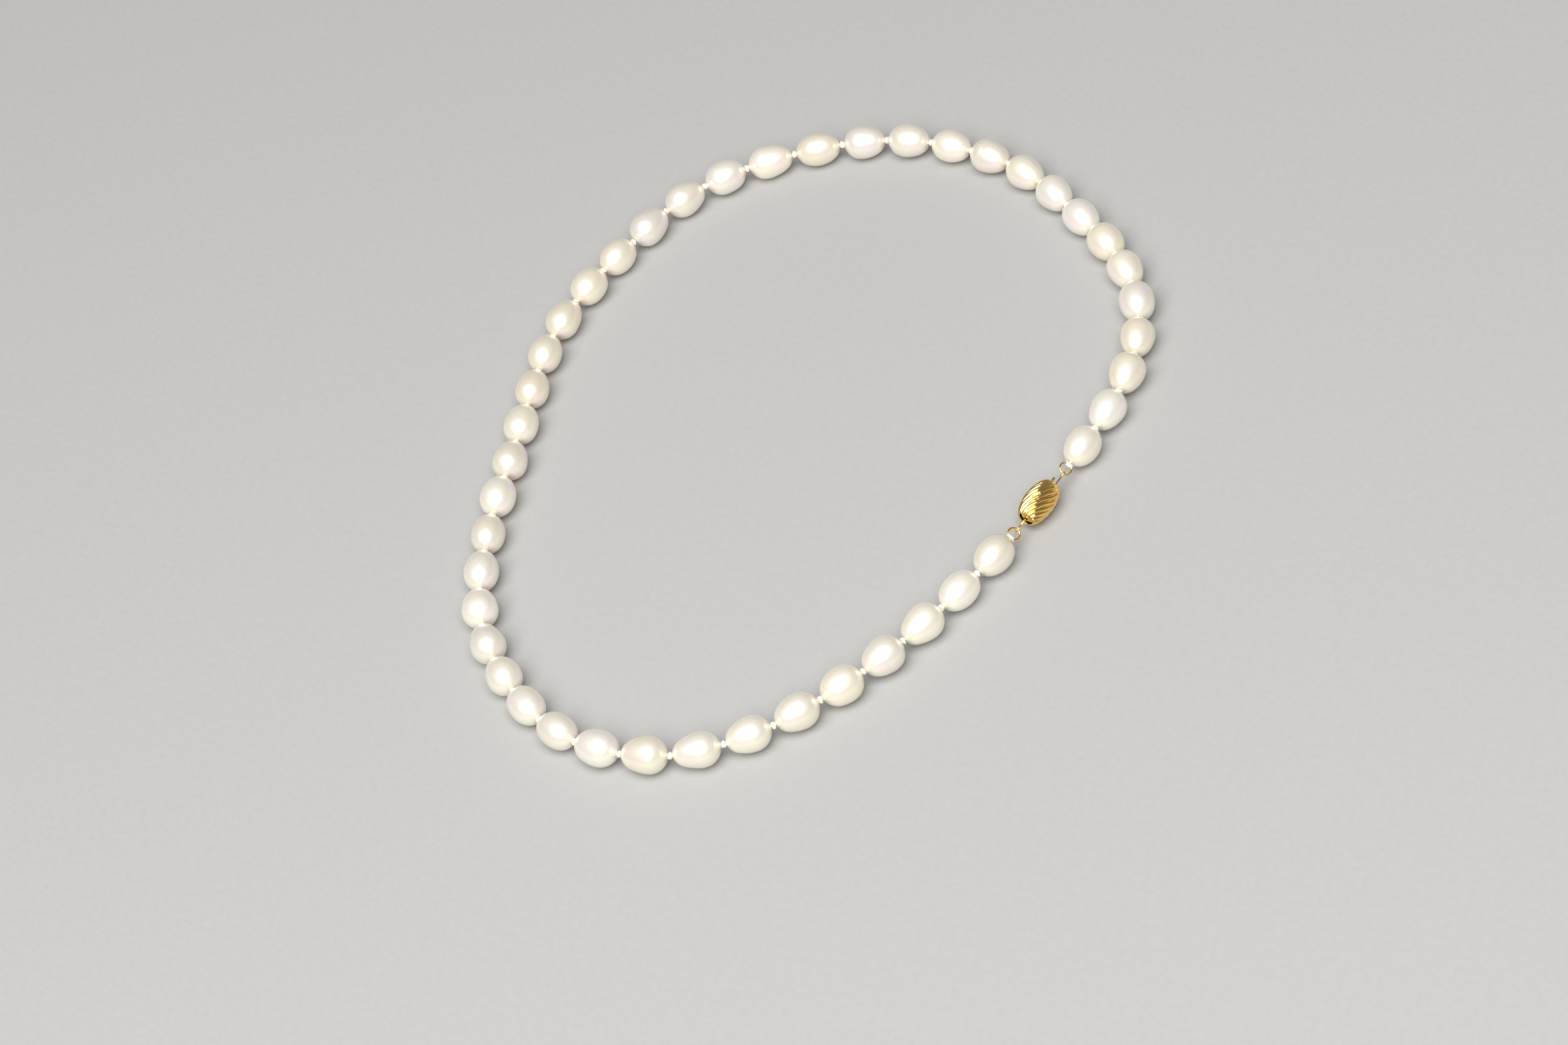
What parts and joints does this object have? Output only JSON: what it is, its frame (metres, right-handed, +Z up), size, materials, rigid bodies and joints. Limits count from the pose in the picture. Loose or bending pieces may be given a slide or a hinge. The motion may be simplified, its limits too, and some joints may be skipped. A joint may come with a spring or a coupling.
{
  "type": "pearl necklace",
  "caption": "Closed single strand of drilled oval pearls on a silk thread knotted between them, joined by a fluted gold barrel clasp with a sprung hook and jump rings.",
  "frame": {"origin": "centre of the closed necklace's outline, on the surface that it lies on", "axes": "+Z up off the surface, +Y from the front of the necklace to the nape, +X towards the clasp's side"},
  "size_m": [0.1266, 0.1688, 0.007],
  "materials": {
    "pearl": "lustrous nacre, cream with faint rose and green overtones",
    "gold": "polished yellow gold",
    "silk": "twisted cream silk"
  },
  "bodies": {
    "case_row": {"case_barrel": "gold", "case_end_cap": "gold", "case_eye": "gold", "case_mouth_plate": "gold", "gimp_loop_lower": "silk", "silk_thread": "silk", "pearl_22": "pearl"},
    "hook_row": {"hook_tongue": "gold", "hook_eye": "gold", "gimp_loop_upper": "silk", "pearl_23": "pearl"},
    "hook_leaf": {"hook_leaf": "gold", "hook_thumb_nib": "gold"},
    "lower_ring": {"jump_ring_lower": "gold"},
    "upper_ring": {"jump_ring_upper": "gold"},
    "front_row_1": {"pearl_01": "pearl", "pearl_21": "pearl"},
    "front_row_2": {"pearl_02": "pearl", "pearl_20": "pearl"},
    "front_row_3": {"pearl_03": "pearl", "pearl_19": "pearl"},
    "front_row_4": {"pearl_04": "pearl", "pearl_18": "pearl"},
    "front_row_5": {"pearl_05": "pearl", "pearl_17": "pearl"},
    "front_row_6": {"pearl_06": "pearl", "pearl_16": "pearl"},
    "front_row_7": {"pearl_07": "pearl", "pearl_15": "pearl"},
    "front_end": {"pearl_08": "pearl", "pearl_09": "pearl", "pearl_10": "pearl", "pearl_11": "pearl", "pearl_12": "pearl", "pearl_13": "pearl", "pearl_14": "pearl"},
    "back_row_1": {"pearl_24": "pearl", "pearl_44": "pearl"},
    "back_row_2": {"pearl_25": "pearl", "pearl_43": "pearl"},
    "back_row_3": {"pearl_26": "pearl", "pearl_42": "pearl"},
    "back_row_4": {"pearl_27": "pearl", "pearl_41": "pearl"},
    "back_row_5": {"pearl_28": "pearl", "pearl_40": "pearl"},
    "back_row_6": {"pearl_29": "pearl", "pearl_39": "pearl"},
    "back_row_7": {"pearl_30": "pearl", "pearl_38": "pearl"},
    "nape_end": {"pearl_31": "pearl", "pearl_32": "pearl", "pearl_33": "pearl", "pearl_34": "pearl", "pearl_35": "pearl", "pearl_36": "pearl", "pearl_37": "pearl"}
  },
  "joints": [
    {"name": "clasp_open", "type": "hinge", "parent": "case_row", "child": "hook_row", "pos_m": [-0.06005, 0.02041, 0.00338], "axis": [0, 0, 1], "range_deg": [0, 35], "deforming": ["silk_thread"]},
    {"name": "clasp_leaf_press", "type": "hinge", "parent": "hook_row", "child": "hook_leaf", "pos_m": [0.05232, -0.01413, 0.00336], "axis": [-0.5906, 0.1738, -0.788], "range_deg": [0, 3.5], "stiffness_Nm_per_rad": 0.02},
    {"name": "clasp_lower_ring_swivel", "type": "hinge", "parent": "case_row", "child": "lower_ring", "pos_m": [0.05025, -0.02124, 0.00335], "axis": [0.2823, 0.9593, 0], "range_deg": [-20, 20]},
    {"name": "clasp_upper_ring_swivel", "type": "hinge", "parent": "hook_row", "child": "upper_ring", "pos_m": [0.05523, -0.00433, 0.00335], "axis": [0.2823, 0.9593, 0], "range_deg": [-20, 20]},
    {"name": "front_fold_1", "type": "hinge", "parent": "case_row", "child": "front_row_1", "pos_m": [-0.00487, -0.00605, 0.00335], "axis": [-0.9556, 0.2948, 0.0001], "range_deg": [0, 25]},
    {"name": "front_fold_2", "type": "hinge", "parent": "front_row_1", "child": "front_row_2", "pos_m": [-0.00597, -0.01507, 0.00335], "axis": [-0.9542, 0.2992, 0.0004], "range_deg": [0, 25]},
    {"name": "front_fold_3", "type": "hinge", "parent": "front_row_2", "child": "front_row_3", "pos_m": [-0.00727, -0.02438, 0.00338], "axis": [-0.9515, 0.3075, 0.0002], "range_deg": [0, 25]},
    {"name": "front_fold_4", "type": "hinge", "parent": "front_row_3", "child": "front_row_4", "pos_m": [-0.00896, -0.03336, 0.00346], "axis": [-0.9478, 0.319, -0.0006], "range_deg": [0, 25]},
    {"name": "front_fold_5", "type": "hinge", "parent": "front_row_4", "child": "front_row_5", "pos_m": [-0.01087, -0.04226, 0.00345], "axis": [-0.9469, 0.3215, -0.0015], "range_deg": [0, 25]},
    {"name": "front_fold_6", "type": "hinge", "parent": "front_row_5", "child": "front_row_6", "pos_m": [-0.01282, -0.05049, 0.00341], "axis": [-0.9441, 0.3297, -0.0017], "range_deg": [0, 25]},
    {"name": "front_fold_7", "type": "hinge", "parent": "front_row_6", "child": "front_row_7", "pos_m": [-0.0148, -0.05869, 0.00342], "axis": [-0.9416, 0.3368, 0.0005], "range_deg": [0, 25]},
    {"name": "front_fold_8", "type": "hinge", "parent": "front_row_7", "child": "front_end", "pos_m": [-0.01671, -0.0657, 0.0034], "axis": [-0.9358, 0.3527, 0.0012], "range_deg": [0, 25]},
    {"name": "nape_fold_1", "type": "hinge", "parent": "hook_row", "child": "back_row_1", "pos_m": [-0.00154, 0.0138, 0.00338], "axis": [-0.9611, 0.2763, 0.0006], "range_deg": [-25, 0]},
    {"name": "nape_fold_2", "type": "hinge", "parent": "back_row_1", "child": "back_row_2", "pos_m": [0.0008, 0.02279, 0.00336], "axis": [-0.9608, 0.2774, 0.0003], "range_deg": [-25, 0]},
    {"name": "nape_fold_3", "type": "hinge", "parent": "back_row_2", "child": "back_row_3", "pos_m": [0.00352, 0.03193, 0.0034], "axis": [-0.9617, 0.2743, -0.0007], "range_deg": [-25, 0]},
    {"name": "nape_fold_4", "type": "hinge", "parent": "back_row_3", "child": "back_row_4", "pos_m": [0.00553, 0.04136, 0.00339], "axis": [-0.9602, 0.2794, -0.0004], "range_deg": [-25, 0]},
    {"name": "nape_fold_5", "type": "hinge", "parent": "back_row_4", "child": "back_row_5", "pos_m": [0.00768, 0.04997, 0.0034], "axis": [-0.9593, 0.2824, -0.0003], "range_deg": [-25, 0]},
    {"name": "nape_fold_6", "type": "hinge", "parent": "back_row_5", "child": "back_row_6", "pos_m": [0.00936, 0.05749, 0.00341], "axis": [-0.9588, 0.2841, -0.0009], "range_deg": [-25, 0]},
    {"name": "nape_fold_7", "type": "hinge", "parent": "back_row_6", "child": "back_row_7", "pos_m": [0.01103, 0.06369, 0.00338], "axis": [-0.9544, 0.2986, -0.0018], "range_deg": [-25, 0]},
    {"name": "nape_fold_8", "type": "hinge", "parent": "back_row_7", "child": "nape_end", "pos_m": [0.01242, 0.06874, 0.0034], "axis": [-0.946, 0.3243, -0.0016], "range_deg": [-25, 0]}
  ]
}
